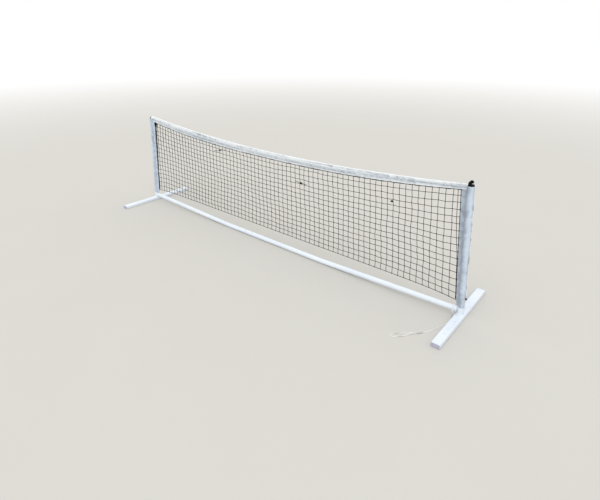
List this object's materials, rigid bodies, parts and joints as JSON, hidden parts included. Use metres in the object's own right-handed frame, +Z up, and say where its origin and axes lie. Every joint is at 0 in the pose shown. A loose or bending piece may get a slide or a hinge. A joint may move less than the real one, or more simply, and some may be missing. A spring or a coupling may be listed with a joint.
{
  "type": "sports net with frame",
  "caption": "Low sports net in white tape on two short poles, which stand in sockets on flat feet joined by a three-part crossbar on the floor.",
  "frame": {"origin": "on the floor, midway between the two posts and midway along the feet", "axes": "+X along the net towards the right post, +Y towards the back of the feet, +Z up"},
  "size_m": [3.086, 0.7521, 0.8336],
  "materials": {
    "white_steel": "gloss powder coat",
    "zinc_steel": "zinc plated",
    "rivet_aluminium": "plain",
    "grey_plastic": "moulded",
    "black_plastic": "glossy",
    "white_fabric": "woven tape",
    "black_twine": "knotted twine",
    "black_cord": "braided",
    "white_cord": "braided"
  },
  "bodies": {
    "base": {"left_foot": "white_steel", "right_foot": "white_steel", "left_foot_front_plug": "grey_plastic", "left_foot_back_plug": "grey_plastic", "right_foot_front_plug": "grey_plastic", "right_foot_back_plug": "grey_plastic", "left_post_socket": "white_steel", "right_post_socket": "white_steel", "left_bar_spigot": "zinc_steel", "right_bar_spigot": "zinc_steel", "crossbar_left": "white_steel", "crossbar_middle": "white_steel", "crossbar_right": "white_steel", "crossbar_left_joiner": "zinc_steel", "crossbar_right_joiner": "zinc_steel", "crossbar_left_rivet": "rivet_aluminium", "crossbar_right_rivet": "rivet_aluminium", "cord_hitch": "white_cord", "tie_cord": "white_cord", "tie_knot": "white_cord", "tie_cord_loop": "white_cord"},
    "left_post": {"left_post": "white_steel", "left_post_cap": "black_plastic"},
    "right_post": {"right_post": "white_steel", "right_post_cap": "black_plastic"},
    "net": {"net_mesh": "black_twine", "head_tape": "white_fabric", "left_sleeve": "white_fabric", "right_sleeve": "white_fabric", "head_line": "white_cord", "bottom_line": "black_cord", "left_side_line": "black_cord", "right_side_line": "black_cord", "left_keeper": "white_fabric", "right_keeper": "white_fabric", "left_cord_lock": "black_plastic", "right_cord_lock": "black_plastic"}
  },
  "joints": [
    {"name": "left_post_lift", "type": "slide", "parent": "base", "child": "left_post", "axis": [0, 0, 1], "range_m": [0, 0.06]},
    {"name": "right_post_lift", "type": "slide", "parent": "base", "child": "right_post", "axis": [0, 0, 1], "range_m": [0, 0.06]},
    {"name": "net_lift", "type": "slide", "parent": "left_post", "child": "net", "axis": [0, 0, 1], "range_m": [0, 0.76]}
  ],
  "couplings": [
    {"joint": "right_post_lift", "follows": "left_post_lift", "ratio": 1}
  ]
}
